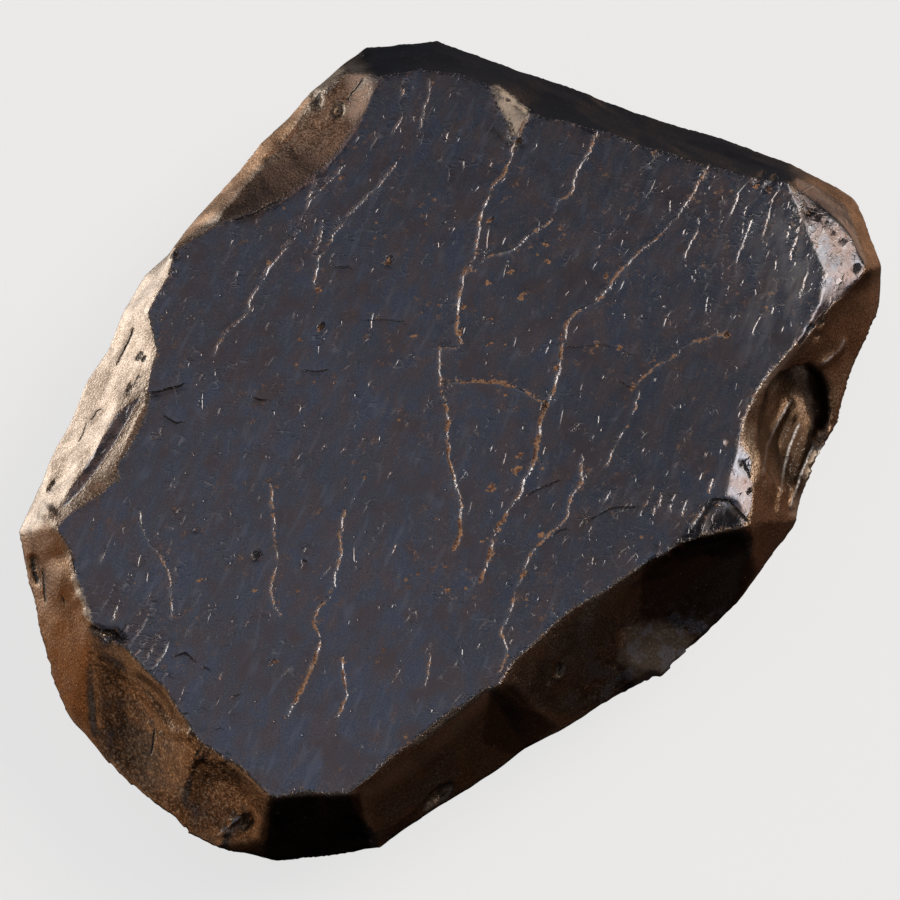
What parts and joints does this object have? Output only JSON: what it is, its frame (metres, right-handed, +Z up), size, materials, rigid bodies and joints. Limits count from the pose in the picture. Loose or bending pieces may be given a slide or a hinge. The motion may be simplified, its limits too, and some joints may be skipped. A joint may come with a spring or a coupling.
{
  "type": "polished iron ore",
  "caption": "Hand-sized slab of iron ore with one ground and polished face, knapped sloping sides and a rough underside with a flat foot.",
  "frame": {"origin": "middle of the bounding box in plan, on the surface that the slab rests on", "axes": "+X along the slab's length, +Y across it, +Z up out of the polished face"},
  "size_m": [0.1204, 0.09, 0.022],
  "materials": {
    "iron_ore_slab": "polished dark blue-grey metallic face with rust-brown broken sides"
  },
  "bodies": {
    "root": {"iron_ore_slab": "iron_ore_slab"}
  },
  "joints": []
}
